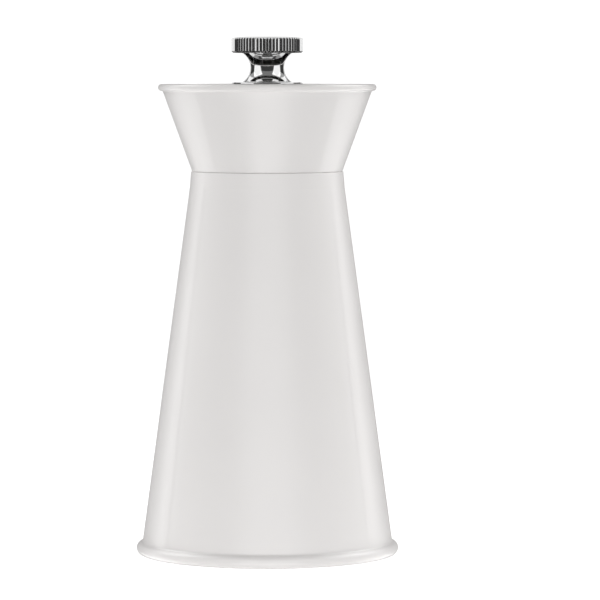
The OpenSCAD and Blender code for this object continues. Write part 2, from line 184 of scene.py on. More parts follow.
def joined(name, *items):
    """One object from several."""
    with bpy.context.temp_override(active_object=items[0], selected_editable_objects=items):
        bpy.ops.object.join()
    items[0].name = items[0].data.name = name
    return items[0]


def turns(count, start=0.0):
    """Rotations evenly round the axis, from a start in degrees."""
    return [Matrix.Rotation(math.radians(start + k * 360 / count), 4, "Z") for k in range(count)]


def out_along(x, z=0.0):
    return Matrix.Translation((x, 0, z))


def circle(radius, x=0.0, y=0.0, count=48):
    angles = np.arange(count) * 2 * np.pi / count
    return [(x + radius * math.cos(a), y + radius * math.sin(a)) for a in angles]


def ring_of_circles(count, radius, place, start=0.0):
    """Round holes spaced evenly on a pitch circle."""
    angles = [math.radians(start + k * 360 / count) for k in range(count)]
    return [circle(radius, place * math.cos(a), place * math.sin(a)) for a in angles]


def loop(corners, steps=4):
    """Points of a flat outline with rounded corners, given as (x, y, fillet radius)."""
    return [row[:2] for row in rounded(corners, steps=steps)]


def square(side, fillet=0.3):
    half = side / 2
    return loop([(x * half, y * half, fillet) for x, y in CORNERS])


def plate(name, outlines, bottom, top, bevel=0.15):
    """Flat plate between two heights, from an outline and its holes, with its edges broken."""
    curve = bpy.data.curves.new(name, "CURVE")
    curve.dimensions, curve.fill_mode = "2D", "BOTH"
    for outline in outlines:
        spline = curve.splines.new("POLY")
        spline.points.add(len(outline) - 1)
        for point, (x, y) in zip(spline.points, outline):
            point.co = (x, y, 0, 1)
        spline.use_cyclic_u = True
    curve.extrude = (top - bottom) / 2 - bevel
    curve.bevel_depth, curve.bevel_resolution, curve.offset = bevel, 1, -bevel
    drawn = link_new(name, curve)
    mesh = evaluated(drawn)
    bpy.data.objects.remove(drawn)
    bm = bmesh.new()
    bm.from_mesh(mesh)
    bmesh.ops.remove_doubles(bm, verts=bm.verts, dist=0.001)
    bmesh.ops.recalc_face_normals(bm, faces=bm.faces)
    bm.to_mesh(mesh)
    bm.free()
    mesh.transform(SHRINK @ Matrix.Translation((0, 0, (bottom + top) / 2)))
    mesh.shade_smooth()
    mesh.set_sharp_from_angle(angle=math.radians(14))
    return link_new(name, mesh)


def webs(count, outline, thickness, start=0.0):
    """Upright webs round the axis, each from one outline of (radius, height)."""
    web = plate("web", [outline], -thickness / 2, thickness / 2, 0.2)
    upright = Matrix.Rotation(math.radians(90), 4, "X")
    return copies(web, [turn @ upright for turn in turns(count, start)])


def cut(item, *cutters):
    """Takes the cutters away from an item."""
    for cutter in cutters:
        bite = item.modifiers.new("cut", "BOOLEAN")
        bite.object, bite.operation, bite.solver = cutter, "DIFFERENCE", "EXACT"
    mesh = evaluated(item)
    if mesh.attributes.get("custom_normal"):
        mesh.attributes.remove(mesh.attributes["custom_normal"])
    mesh.set_sharp_from_angle(angle=math.radians(28))
    name = item.name
    for used in (item, *cutters):
        bpy.data.objects.remove(used)
    return link_new(name, mesh)


def screw(head_r, head_h, shank_r, length, flat=False):
    """Cross-recessed screw that points up; z = 0 is a flat head's face, or a pan head's seat."""
    face = 0.0 if flat else -head_h
    if flat:
        head = [(0, 0, 0), (head_r, 0, 0.08), (shank_r, head_h, 0.3)]
    else:
        head = [(0, face, 0), (head_r, face, head_h * 0.75), (head_r, 0, 0.1), (shank_r, 0, 0.15)]
    tip = [(shank_r, length - shank_r, 0.4), (0.25, length, 0.15), (0, length, 0)]
    body = turned("screw", head + tip, closed=False, around=48)
    arm, half = head_r * 0.6, 0.28
    cross = [(arm, -half), (arm, half), (half, half), (half, arm), (-half, arm), (-half, half)]
    cross += [(-x, -y) for x, y in cross]
    return cut(body, plate("recess", [cross], face - 1, face + head_h * 0.6, 0.02))


def finish_piece(item, node):
    """Gives a piece its material, body and slot, and lets it stand for its CAD node."""
    item.name = item.data.name = "visual_" + node
    slot = SLOT_OF[node]
    item.data.materials.clear()
    item.data.materials.append(MATERIALS.get(node) or MATERIALS[slot])
    if node != "spring":
        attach(item, BODY_OF[node])
    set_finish(item, slot)
    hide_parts(node)


def lathe(node, corners, **settings):
    """Piece that is one solid of revolution."""
    finish_piece(turned(node, corners, **settings), node)


# ---------------------------------------------------------------- material tools


class Finish:
    """A Principled material and the few texture nodes that the finishes share, in object space."""

    def __init__(self, name, color, roughness, **sockets):
        self.material = bpy.data.materials.new(name)
        self.material.use_nodes = True
        self.tree = self.material.node_tree
        self.shader = self.tree.nodes["Principled BSDF"]
        self.shader.inputs["Base Color"].default_value = (*color, 1)
        self.shader.inputs["Roughness"].default_value = roughness
        for key, value in sockets.items():
            self.shader.inputs[key.replace("_", " ")].default_value = value
        self.coords = self.node("ShaderNodeTexCoord").outputs["Object"]

    def node(self, kind, **settings):
        made = self.tree.nodes.new(kind)
        for key, value in settings.items():
            setattr(made, key, value)
        return made

    def link(self, start, end):
        self.tree.links.new(start, end)

    def stretched(self, x=1, y=1, z=1):
        """Object space scaled along its axes, so that noise in it has a grain."""
        mapping = self.node("ShaderNodeMapping")
        mapping.inputs["Scale"].default_value = (x, y, z)
        self.link(self.coords, mapping.inputs["Vector"])
        return mapping.outputs["Vector"]

    def round_axis(self, along=0.02):
        """Space of radius, height and a little of X, so that noise in it is turning marks."""
        split = self.node("ShaderNodeSeparateXYZ")
        self.link(self.coords, split.inputs["Vector"])
        flat = self.node("ShaderNodeCombineXYZ")
        self.link(split.outputs["X"], flat.inputs["X"])
        self.link(split.outputs["Y"], flat.inputs["Y"])
        length = self.node("ShaderNodeVectorMath", operation="LENGTH")
        self.link(flat.outputs["Vector"], length.inputs[0])
        joined = self.node("ShaderNodeCombineXYZ")
        self.link(length.outputs["Value"], joined.inputs["X"])
        self.link(split.outputs["Z"], joined.inputs["Y"])
        wobble = self.node("ShaderNodeMath", operation="MULTIPLY")
        wobble.inputs[1].default_value = along
        self.link(split.outputs["X"], wobble.inputs[0])
        self.link(wobble.outputs["Value"], joined.inputs["Z"])
        return joined.outputs["Vector"]

    def noise(self, scale, detail=2, space=None, roughness=0.5):
        made = self.node("ShaderNodeTexNoise")
        made.inputs["Scale"].default_value = scale
        made.inputs["Detail"].default_value = detail
        made.inputs["Roughness"].default_value = roughness
        self.link(space or self.coords, made.inputs["Vector"])
        return made.outputs["Fac"]

    def cells(self, scale, space=None):
        made = self.node("ShaderNodeTexVoronoi")
        made.inputs["Scale"].default_value = scale
        self.link(space or self.coords, made.inputs["Vector"])
        return made.outputs["Distance"]

    def span(self, value, start, end, low_value, high_value):
        """Value's stretch from start to end, taken to the stretch from low_value to high_value."""
        made = self.node("ShaderNodeMapRange")
        for key, number in zip(
            ("From Min", "From Max", "To Min", "To Max"), (start, end, low_value, high_value)
        ):
            made.inputs[key].default_value = number
        self.link(value, made.inputs["Value"])
        return made.outputs["Result"]

    def ramp(self, value, *stops):
        """Colour ramp with (place, colour) stops."""
        made = self.node("ShaderNodeValToRGB")
        elements = made.color_ramp.elements
        while len(elements) < len(stops):
            elements.new(0.5)
        for element, (place, color) in zip(elements, stops):
            element.position = place
            element.color = (*color, 1)
        self.link(value, made.inputs["Fac"])
        return made.outputs["Color"]

    def color(self, socket):
        self.link(socket, self.shader.inputs["Base Color"])

    def roughness(self, socket):
        self.link(socket, self.shader.inputs["Roughness"])

    def bump(self, value, depth, strength=1.0):
        """Adds relief of that depth in metres, on top of any relief so far."""
        made = self.node("ShaderNodeBump")
        made.inputs["Strength"].default_value = strength
        made.inputs["Distance"].default_value = depth
        self.link(value, made.inputs["Height"])
        normal = self.shader.inputs["Normal"]
        if normal.is_linked:
            self.link(normal.links[0].from_socket, made.inputs["Normal"])
        self.link(made.outputs["Normal"], normal)


def tint(color, factor):
    return tuple(min(1.0, c * factor) for c in color)


# ---------------------------------------------------------------- materials

ENAMEL = (0.813, 0.795, 0.785)
CHROME = (0.80, 0.80, 0.80)


def enamel():
    """Stove enamel: satin gloss, faint orange peel, and a slight drift of shade and of gloss."""
    made = Finish("shell_enamel", ENAMEL, 0.36, Coat_Weight=0.15, Coat_Roughness=0.35)
    drift = made.noise(28, 3)
    made.color(made.ramp(drift, (0.3, tint(ENAMEL, 0.985)), (0.7, tint(ENAMEL, 1.012))))
    made.roughness(made.span(made.noise(90, 3), 0.2, 0.8, 0.31, 0.41))
    made.bump(made.noise(420, 2), 0.000012)
    return made.material


def chrome():
    """Bright plating over turned metal, with fine turning marks and a few hazy patches."""
    made = Finish("bright_chrome", CHROME, 0.06, Metallic=1.0)
    rings = made.noise(5200, 2, made.round_axis())
    made.color(made.ramp(made.noise(160, 2), (0.3, tint(CHROME, 0.97)), (0.7, tint(CHROME, 1.03))))
    made.roughness(made.span(made.noise(240, 3), 0.35, 0.75, 0.045, 0.11))
    made.bump(rings, 0.000001)
    return made.material


STEEL = (0.62, 0.61, 0.60)
ZINC = (0.55, 0.55, 0.54)
CERAMIC = (0.83, 0.81, 0.77)
ACETAL = (0.80, 0.79, 0.76)
WHITE = (0.78, 0.78, 0.77)
NYLON = (0.06, 0.06, 0.065)
RUBBER = (0.16, 0.16, 0.165)


def steel(name, *grain):
    """Stainless steel: soft stains, and fine scratches along the axis of the smallest scale."""
    made = Finish(name, STEEL, 0.35, Metallic=1.0)
    grain = made.noise(900, 3, made.stretched(*grain))
    stain = made.noise(130, 3)
    made.color(made.ramp(stain, (0.3, tint(STEEL, 0.9)), (0.7, tint(STEEL, 1.06))))
    made.roughness(made.span(grain, 0.3, 0.7, 0.29, 0.43))
    made.bump(grain, 0.000006)
    return made.material


def zinc():
    """Bright zinc plate: crystals, and the faint blue and straw of its passivation."""
    made = Finish("screw_steel", ZINC, 0.35, Metallic=1.0)
    hue = made.noise(420, 3)
    made.color(made.ramp(hue, (0.35, (0.50, 0.52, 0.55)), (0.5, ZINC), (0.7, (0.58, 0.55, 0.46))))
    made.roughness(made.span(made.cells(2200), 0.0, 0.6, 0.3, 0.48))
    made.bump(made.noise(1600, 3), 0.000008)
    return made.material


def ceramic():
    """Unglazed sintered ceramic: a fine grain, a few darker specks and a slightly uneven skin."""
    made = Finish("burr_ceramic", CERAMIC, 0.55)
    specks = made.noise(2600, 2, roughness=0.7)
    dark, plain, light = (tint(CERAMIC, factor) for factor in (0.72, 0.96, 1.04))
    made.color(made.ramp(specks, (0.28, dark), (0.36, plain), (0.7, light)))
    made.roughness(made.span(made.noise(700, 3), 0.3, 0.7, 0.46, 0.66))
    made.bump(made.noise(3800, 3), 0.000012)
    made.bump(made.noise(260, 2), 0.00003, 0.5)
    return made.material


def acetal():
    """Moulded natural acetal: waxy, with drifts of flow and faint tool marks."""
    made = Finish("natural_acetal", ACETAL, 0.4, Subsurface_Weight=0.08, Subsurface_Scale=0.002)
    flow = made.noise(140, 3, made.stretched(1, 1, 0.35))
    made.color(made.ramp(flow, (0.3, tint(ACETAL, 0.96)), (0.72, tint(ACETAL, 1.02))))
    made.roughness(made.span(flow, 0.3, 0.7, 0.34, 0.46))
    made.bump(made.noise(2400, 2, made.round_axis()), 0.000004)
    return made.material


def white_plastic():
    """Moulded polypropylene with a spark-eroded texture."""
    made = Finish("white_plastic", WHITE, 0.5)
    made.color(made.ramp(made.noise(60, 3), (0.3, tint(WHITE, 0.97)), (0.7, tint(WHITE, 1.02))))
    made.roughness(made.span(made.noise(500, 2), 0.3, 0.7, 0.44, 0.58))
    made.bump(made.noise(1900, 2), 0.00002)
    return made.material


def nylon():
    """Glass-filled nylon: fibres drawn along the flow, and a dull bloom."""
    made = Finish("dark_nylon", NYLON, 0.5)
    fibres = made.noise(1100, 3, made.stretched(1, 1, 0.1), roughness=0.65)
    made.color(made.ramp(fibres, (0.35, tint(NYLON, 0.75)), (0.6, NYLON), (0.8, tint(NYLON, 1.5))))
    made.roughness(made.span(made.noise(180, 3), 0.3, 0.7, 0.42, 0.62))
    made.bump(fibres, 0.000012)
    return made.material


def rubber():
    """Matt silicone rubber, with a fine sandblasted skin and a little dust."""
    made = Finish("grey_rubber", RUBBER, 0.8, Sheen_Weight=0.15, Sheen_Roughness=0.5)
    dust = made.noise(900, 4, roughness=0.7)
    made.color(made.ramp(dust, (0.3, tint(RUBBER, 0.85)), (0.62, RUBBER), (0.8, tint(RUBBER, 1.7))))
    made.roughness(made.span(made.noise(300, 2), 0.3, 0.7, 0.72, 0.9))
    made.bump(made.noise(3000, 2), 0.00002)
    return made.material


MATERIALS = {
    "shell_paint": enamel(),
    "bright_chrome": chrome(),
    "plain_steel": steel("rolled_steel", 0.1, 2.5, 2.5),
    "spindle": steel("drawn_steel", 3, 3, 0.1),
    "spring": steel("spring_wire", 1.5, 1.5, 1.5),
    "screw_steel": zinc(),
    "burr_ceramic": ceramic(),
    "natural_acetal": acetal(),
    "white_plastic": white_plastic(),
    "dark_nylon": nylon(),
    "grey_rubber": rubber(),
}


# ---------------------------------------------------------------- pieces

FOOT_R = high("body_shell").x
FOOT_Z = low("body_shell").z
BODY_TOP = high("body_shell").z
HEAD_BOTTOM = low("head_shell").z - 0.08
RIM_R = high("head_shell").x
HEAD_TOP = high("head_shell").z
SHEET = 0.6
FOOT_BEAD = 1.8
RIM_BEAD = 1.0
NECK_R = 22.0
COLLAR_Z = BODY_TOP - 4.5
COLLAR_R = NECK_R + 0.35


def on_bead(centre, radius, degrees, run):
    """Two corners: the bead's own, where its upright tangent meets the tangent at that angle, and
    the one that the second tangent reaches after a run past the bead.
    """
    angle = math.radians(degrees)
    sign = math.copysign(1, degrees)
    touch = Vector(centre) + radius * Vector((math.cos(angle), math.sin(angle)))
    meet_z = centre[1] + sign * radius * math.tan(abs(angle) / 2)
    away = Vector((-math.sin(angle), math.cos(angle))) * sign
    far = touch + away * run
    return (centre[0] + radius, meet_z), (far.x, far.y)


def body_shell():
    centre = (FOOT_R - FOOT_BEAD, FOOT_Z + FOOT_BEAD)
    bead, crease = on_bead(centre, FOOT_BEAD, 70, 0.62)
    lip_r = centre[0] - 2.2
    corners = [
        (lip_r, FOOT_Z, 0.15),
        (FOOT_R, FOOT_Z, FOOT_BEAD),
        (*bead, FOOT_BEAD),
        (*crease, 0.75),
        (COLLAR_R, COLLAR_Z, 8),
        (NECK_R, BODY_TOP, 0.22),
        (NECK_R - SHEET, BODY_TOP, 0.12),
        (COLLAR_R - SHEET, COLLAR_Z, 8),
        (crease[0] - SHEET, centre[1] + FOOT_BEAD - SHEET, 0.3),
        (FOOT_R - SHEET, centre[1] + FOOT_BEAD - SHEET, 1.1),
        (FOOT_R - SHEET, FOOT_Z + SHEET, 1.1),
        (lip_r, FOOT_Z + SHEET, 0.15),
    ]
    lathe("body_shell", corners, steps=8)


def head_shell():
    centre = (RIM_R - RIM_BEAD, HEAD_TOP - RIM_BEAD)
    bead, crease = on_bead(centre, RIM_BEAD, -80, 0.53)
    lip_r = centre[0] - 2.15
    foot_r = NECK_R - 0.3
    corners = [
        (20.3, HEAD_BOTTOM, 0.15),
        (foot_r, HEAD_BOTTOM, 0.03),
        (*crease, 0.45),
        (*bead, RIM_BEAD),
        (RIM_R, HEAD_TOP, RIM_BEAD),
        (lip_r, HEAD_TOP, 0.15),
        (lip_r, HEAD_TOP - SHEET, 0.15),
        (crease[0] - SHEET + 0.5, HEAD_TOP - SHEET, 0.2),
        (foot_r - SHEET, HEAD_BOTTOM + SHEET, 0.2),
        (20.3, HEAD_BOTTOM + SHEET, 0.15),
    ]
    lathe("head_shell", corners, steps=8)


def head_top_plate():
    top, bottom = high("head_top_plate").z, low("head_top_plate").z
    edge_r = high("head_top_plate").x
    hole_r, step_r = 3.0, 26.5
    corners = [
        (hole_r, top - SHEET, 0.1),
        (step_r - 1.3, top - SHEET, 0.5),
        (step_r - 0.3, bottom, 0.5),
        (edge_r, bottom, 0.1),
        (edge_r, bottom + SHEET - 0.1, 0.1),
        (step_r, bottom + SHEET - 0.1, 0.5),
        (step_r - 1, top, 0.5),
        (hole_r, top, 0.15),
    ]
    lathe("head_top_plate", corners)


def knob_washer():
    outer, bottom, top = high("knob_washer").x, low("knob_washer").z, high("knob_washer").z
    corners = [
        (3.0, bottom, 0.05),
        (outer, bottom, 0.22),
        (outer, top, 0.22),
        (3.0, top, 0.05),
    ]
    lathe("knob_washer", corners)


def knob():
    """Knurled finial nut: a blank, cut back to the section of the knurling where that is lower."""
    teeth, depth, steps = 64, 0.41, 12
    crest_r, bottom, top = high("knob").x, low("knob").z, high("knob").z
    under_z = top - 4.8
    waist_r, hollow_r, bore_r, room = 4.95, 4.85, 2.5, 0.2
    bore_z = bottom + 11.2
    rise = (under_z - bottom) / 2 - room
    run = math.sqrt(hollow_r**2 - rise**2)
    end_r = waist_r + hollow_r - run
    foot_r, apex_r = end_r + room * rise / run, end_r - rise * rise / run
    blank_r = crest_r + 0.1
    corners = [
        (0, bore_z, 0),
        (bore_r, bore_z, 0.2),
        (bore_r, bottom, 0.2),
        (foot_r, bottom, 0.1),
        (apex_r, (bottom + under_z) / 2, hollow_r),
        (foot_r, under_z, 0.15),
        (blank_r - 0.65, under_z, 0.3),
        (blank_r, under_z + 0.65, 0.4),
        (blank_r, top - 0.42, 0.95),
        (6.3, top - 0.06, 4),
        (0, top, 0),
    ]
    rows = np.array(rounded(corners, closed=False, steps=14))
    rows[:, 0] = np.maximum(rows[:, 0], AXIS_R)
    fraction = np.arange(teeth * steps) / steps % 1 - 0.5
    # a square V half a tooth away from a crest whose corners are a little worn
    share = np.clip((0.5 - np.abs(fraction)) / 0.41, 0, 1)
    worn = 0.02 * np.clip(np.abs(fraction) / 0.1, 0, 1) ** 2
    section = crest_r - depth * (1 - share) - worn
    angle = np.arange(teeth * steps) * 2 * np.pi / (teeth * steps)
    radius = np.minimum(rows[:, :1], section)
    item = grid("knob", polar(radius, angle, rows[:, 1:2]))
    item.data.set_sharp_from_angle(angle=math.radians(32))
    finish_piece(item, "knob")


# ---------------------------------------------------------------- pieces inside the body

FUNNEL_TOP = high("hopper_funnel").z
INSERT_Z = low("base_insert").z
STATOR_TOP = high("stator_ring").z
ROTOR_TOP = high("rotor").z
BAND_Z = 13.5  # where the fine teeth of both burrs end
FINE_TEETH = 36


def inside_r(z):
    """Radius of the body's inside, with the room that its linings have."""
    wall_z = FOOT_Z + 2 * FOOT_BEAD - SHEET
    wall_r = FOOT_R - FOOT_BEAD + 0.1
    return wall_r + (COLLAR_R - wall_r) * (z - wall_z) / (COLLAR_Z - wall_z) - 0.7


def neck_ring():
    bottom, top, bore = low("neck_ring").z, high("neck_ring").z, 19.4
    lathe(
        "neck_ring",
        [
            (bore, bottom, 0.3),
            (inside_r(bottom), bottom, 0.1),
            (inside_r(COLLAR_Z), COLLAR_Z, 2),
            (NECK_R - SHEET - 0.05, top, 0.1),
            (bore + 0.4, top, 0.1),
            (bore, top - 0.4, 0.1),
            (bore, top - 4.4, 0.05),
            (bore + 0.2, top - 4.6, 0.1),
            (bore + 0.2, top - 5.0, 0.1),
            (bore, top - 5.2, 0.05),
        ],
    )


def hopper_liner():
    bottom, top = low("hopper_liner").z, high("hopper_liner").z
    low_r, high_r = inside_r(bottom) - 0.05, inside_r(top) - 0.05
    lathe(
        "hopper_liner",
        [
            (low_r - 0.8, bottom, 0.15),
            (low_r, bottom, 0.1),
            (high_r, top, 0.1),
            (high_r - 1.3, top, 0.25),
            (high_r - 1.2, top - 1.0, 0.25),
            (high_r - 0.6, top - 1.6, 0.3),
        ],
    )


def hopper_funnel():
    bottom, rim_r, thick = low("hopper_funnel").z, high("hopper_funnel").x, 1.3
    lathe(
        "hopper_funnel",
        [
            (17, bottom, 0.25),
            (19.6, bottom, 0.5),
            (rim_r, FUNNEL_TOP - thick, 0.3),
            (rim_r, FUNNEL_TOP, 0.15),
            (rim_r - 0.8, FUNNEL_TOP, 0.4),
            (17, bottom + 0.8, 0.3),
        ],
    )


def base_insert():
    """Plate, hub tube and skirt in one outline, with six ribs and three screw bosses."""
    bottom, edge_r, skirt_r = INSERT_Z, FOOT_R - FOOT_BEAD - 1.2, inside_r(8) - 0.15
    seat, tube_top = 2.85, high("hopper_funnel").z - 10.4
    body = turned(
        "base_insert",
        [
            (19.2, seat, 0.1),
            (25.2, seat, 0.2),
            (25.2, bottom, 0.25),
            (29.45, bottom, 0.1),
            (29.45, 1.6, 0.1),
            (33.05, 1.6, 0.1),
            (33.05, bottom, 0.1),
            (edge_r, bottom, 0.3),
            (edge_r, 3.3, 0.3),
            (skirt_r, 8, 0.2),
            (skirt_r - 1.2, 8, 0.2),
            (33.6, 3.3, 0.3),
            (33.6, bottom + 2, 0.3),
            (26.8, bottom + 2, 0.3),
            (26.8, 4.6, 0.3),
            (20.8, 4.6, 0.6),
            (20.8, tube_top, 0.3),
            (19.2, tube_top, 0.2),
        ],
    )
    rise, high_z = 8.6 / (inside_r(39) - 19.65), 34
    ribs = webs(
        6,
        [
            (20.4, 3.9),
            (26, 3.9),
            (26, 2),
            (edge_r - 1, 2),
            (skirt_r - 0.3, 8),
            (inside_r(high_z) - 0.15, high_z),
            (28, 29.1 + 8.4 * rise - 0.3),
            (21.3, 29.1 + 1.7 * rise - 0.3),
            (20.4, tube_top - 0.2),
        ],
        1.6,
    )
    boss = plate("boss", [circle(3), circle(1.3)], 3.4, 12, 0.25)
    bosses = copies(boss, [turn @ out_along(22.3) for turn in turns(3, 30)])
    finish_piece(joined("base_insert", body, *ribs, *bosses), "base_insert")


def foot_pad():
    """Ring with three grip grooves in its sole."""
    inner, outer, top = 29.5, high("foot_pad").x, high("foot_pad").z
    corners = [(inner, 0.4, 0.1), (inner + 0.4, 0, 0.1)]
    for r in (30.45, 31.25, 32.05):
        corners += [(r - 0.18, 0, 0.04), (r - 0.1, 0.3, 0.06)]
        corners += [(r + 0.1, 0.3, 0.06), (r + 0.18, 0, 0.04)]
    corners += [(outer - 0.4, 0, 0.1), (outer, 0.4, 0.1), (outer, top, 0.1), (inner, top, 0.1)]
    lathe("foot_pad", corners)


def grinder_housing():
    """Flanged tube, slotted for the crossbar, with a boss on three arms across its top."""
    bottom, top, bore, wall = low("grinder_housing").z, high("grinder_housing").z, 14.55, 19.1
    tube = turned(
        "grinder_housing",
        [
            (bore, bottom, 0.3),
            (25, bottom, 0.5),
            (25, bottom + 1.6, 0.25),
            (wall, bottom + 1.6, 0.3),
            (wall, top, 0.5),
            (13.6, top, 0.5),
            (13.6, STATOR_TOP + 0.05, 0.15),
            (bore, STATOR_TOP + 0.05, 0.1),
        ],
        around=144,
        steps=3,
    )
    length, width = high("crossbar").x + 0.2, 4.2
    slot = [(x * length, y * width) for x, y in CORNERS]
    bar_slot = plate("slot", [slot], bottom - 1, high("crossbar").z + 0.05, 0.02)
    countersunk = turned(
        "countersink",
        [
            (0, bottom - 0.2, 0),
            (2.65, bottom - 0.2, 0),
            (1.35, bottom + 1.3, 0),
            (1.35, 6, 0),
            (0, 6, 0),
        ],
        closed=False,
        around=32,
        steps=1,
    )
    holes = copies(countersunk, [turn @ out_along(22) for turn in turns(3, 30)])
    tube = cut(tube, bar_slot, *holes)
    boss = turned(
        "boss",
        [(6.05, top - 4.5, 0.2), (8, top - 4.5, 0.4), (8, top, 0.4), (6.05, top, 0.3)],
        around=96,
    )
    arm = [(7.4, -1.5), (14.6, -1.5), (14.6, 1.5), (7.4, 1.5)]
    arms = copies(plate("arm", [arm], top - 4, top - 0.5, 0.35), turns(3))
    finish_piece(joined("grinder_housing", tube, boss, *arms), "grinder_housing")


def clamp_ring():
    bottom, top, outer = low("clamp_ring").z, high("clamp_ring").z, 14.5
    inner = outer - 2.1
    lathe(
        "clamp_ring",
        [
            (inner, bottom, 0.3),
            (outer, bottom, 0.3),
            (outer, bottom + 1.3, 0.1),
            (outer - 0.25, bottom + 1.45, 0.1),
            (outer - 0.25, top - 0.6, 0.1),
            (outer, top - 0.45, 0.1),
            (outer, top, 0.2),
            (inner, top, 0.2),
        ],
    )


def crossbar():
    """Blanked bar with round ends, a bearing hole and two screw holes."""
    end_r = high("crossbar").x
    angle = math.asin(4 / end_r)
    steps = np.linspace(-angle, angle, 9)
    right = [(end_r * math.cos(a), end_r * math.sin(a)) for a in steps]
    outline = right + [(-x, -y) for x, y in right]
    holes = [circle(2.05), circle(1.25, 16.4), circle(1.25, -16.4)]
    item = plate("crossbar", [outline, *holes], low("crossbar").z, high("crossbar").z, 0.12)
    finish_piece(item, "crossbar")


def crossbar_screws():
    seat = low("crossbar").z - 0.05
    screws = copies(screw(1.9, 1.25, 1.1, 7.5), [turn @ out_along(16.4, seat) for turn in turns(2)])
    finish_piece(joined("crossbar_screws", *screws), "crossbar_screws")


def housing_screws():
    face = low("grinder_housing").z
    places = [turn @ out_along(22, face) for turn in turns(3, 30)]
    screws = copies(screw(2.35, 1.2, 1.25, 8.5, flat=True), places)
    finish_piece(joined("housing_screws", *screws), "housing_screws")


def drive_bush():
    """Flanged bush with a square hole and a rounded lead-in."""
    bottom, top = low("drive_bush").z, high("drive_bush").z
    flange = plate("flange", [circle(7.8, count=96), square(6.2)], bottom, bottom + 1, 0.15)
    barrel = plate("barrel", [circle(6, count=96), square(6.2)], bottom + 0.5, top, 0.3)
    finish_piece(joined("drive_bush", flange, barrel), "drive_bush")


def rotor_hub():
    bottom, top = low("rotor_hub").z, high("rotor_hub").z
    hexagon = loop([(x, y, 0.3) for x, y in circle(6.4, count=6)])
    finish_piece(plate("rotor_hub", [hexagon, square(6.1)], bottom, top, 0.2), "rotor_hub")


# ---------------------------------------------------------------- burrs


def groove(turn, count, share):
    """Depth, from 0 to 1, of V-grooves whose mouths take that share of the way round."""
    across = np.abs((turn * count) % 1 - 0.5)
    return np.clip((across - 0.5 + share / 2) / (share / 2), 0, 1)


def burr(node, outline, back_r, side, coarse, twist):
    """Conical burr: an outline of (r, z, fillet) whose working face has fine and coarse grooves.

    The working face is on the far side of back_r from the back, side is +1 if its grooves are cut
    outwards, and coarse is the number, depth and share of the coarse ones.
    """
    around = FINE_TEETH * 16
    rows = []
    ends = rounded(outline, steps=2)
    for k, row in enumerate(ends):
        rows.append(row[:2])
        after = ends[(k + 1) % len(ends)]
        if abs(after[1] - row[1]) > 1.5 and (after[0] - row[0]) != 0:
            steps = max(2, round(abs(after[1] - row[1]) / 0.25))
            for t in np.arange(1, steps) / steps:
                rows.append((row[0] + (after[0] - row[0]) * t, row[1] + (after[1] - row[1]) * t))
    rows = np.array(rows)
    r, z = rows[:, :1], rows[:, 1:]
    turn = np.arange(around)[None, :] / around
    count, depth, share = coarse
    fine_cut = 0.42 * groove(turn, FINE_TEETH, 0.43) * (z <= BAND_Z + 0.3)
    deeper = np.clip((z - BAND_Z) / 3, 0, 1)
    coarse_cut = depth * groove(turn, count, share) * deeper
    radius = r + side * np.where((r - back_r) * side < 0, np.maximum(fine_cut, coarse_cut), 0)
    # the columns of points twist with the coarse grooves, so that their edges stay clean
    angle = (turn - twist * np.maximum(z - BAND_Z, 0)) * 2 * np.pi
    item = grid(node, polar(radius, angle, z), along=True)
    item.data.set_sharp_from_angle(angle=math.radians(24))
    return item


def stator_ring():
    outer, waist = high("stator_ring").x, 10.9
    bottom = low("stator_ring").z
    foot = waist + 0.8 * (BAND_Z - bottom) / 3.5
    outline = [
        (foot, bottom, 0.15),
        (outer, bottom, 0.3),
        (outer, STATOR_TOP, 0.3),
        (13, STATOR_TOP, 0.15),
        (waist, BAND_Z, 1.5),
    ]
    item = burr("stator_ring", outline, 13.7, 1, (12, 0.8, 0.27), 0.011)
    finish_piece(item, "stator_ring")


def rotor():
    bottom = low("rotor").z
    outline = [
        (6.05, bottom, 0.15),
        (11.3, bottom, 0.3),
        (10.5, BAND_Z, 1.5),
        (8, ROTOR_TOP, 0.6),
        (6.05, ROTOR_TOP, 0.2),
    ]
    item = burr("rotor", outline, 6.8, -1, (8, 1.15, 0.3), -0.014)
    finish_piece(item, "rotor")


# ---------------------------------------------------------------- spindle and its small parts


def spindle():
    """Round pin with a clip groove, a square shaft with broken corners, and a threaded tip."""
    top, bottom = high("spindle").z, low("spindle").z
    square_z, square_top, clip_z = low("rotor").z, top - 12, low("retaining_clip").z
    pin = turned(
        "pin",
        [
            (0, bottom, 0),
            (1.6, bottom, 0.1),
            (2, bottom + 0.4, 0.2),
            (2, clip_z - 0.05, 0.03),
            (1.5, clip_z - 0.05, 0.03),
            (1.5, clip_z + 0.65, 0.03),
            (2, clip_z + 0.65, 0.03),
            (2, square_z + 0.5, 0),
        ],
        closed=False,
        around=64,
    )
    half, corner = 3.0, 2.6
    eight = [
        (half, -corner), (half, corner), (corner, half), (-corner, half),
        (-half, corner), (-half, -corner), (-corner, -half), (corner, -half),
    ]
    shaft = plate("shaft", [loop([(x, y, 0.15) for x, y in eight])], square_z, square_top, 0.35)
    pitch, crest, deep = 0.8, 2.45, 0.4
    around, lead = 48, 12
    height = np.arange(0, (top - square_top) / pitch * lead + 1)[:, None] * pitch / lead
    turn = np.arange(around)[None, :] / around
    phase = np.abs((height / pitch - turn) % 1 - 0.5) * 2
    radius = crest - deep * np.clip(1.25 * (1 - phase) - 0.12, 0, 1)
    radius = np.minimum(radius, crest - 0.6 + (top - square_top - height))
    radius = np.minimum(radius, crest - 0.4 + height * 0.8)
    places = polar(radius, turn * 2 * np.pi, height + square_top)
    tip = places[-1:] * np.array([0.001, 0.001, 1])
    thread = grid("thread", np.concatenate([places, tip]))
    thread.data.set_sharp_from_angle(angle=math.radians(40))
    finish_piece(joined("spindle", shaft, pin, thread), "spindle")


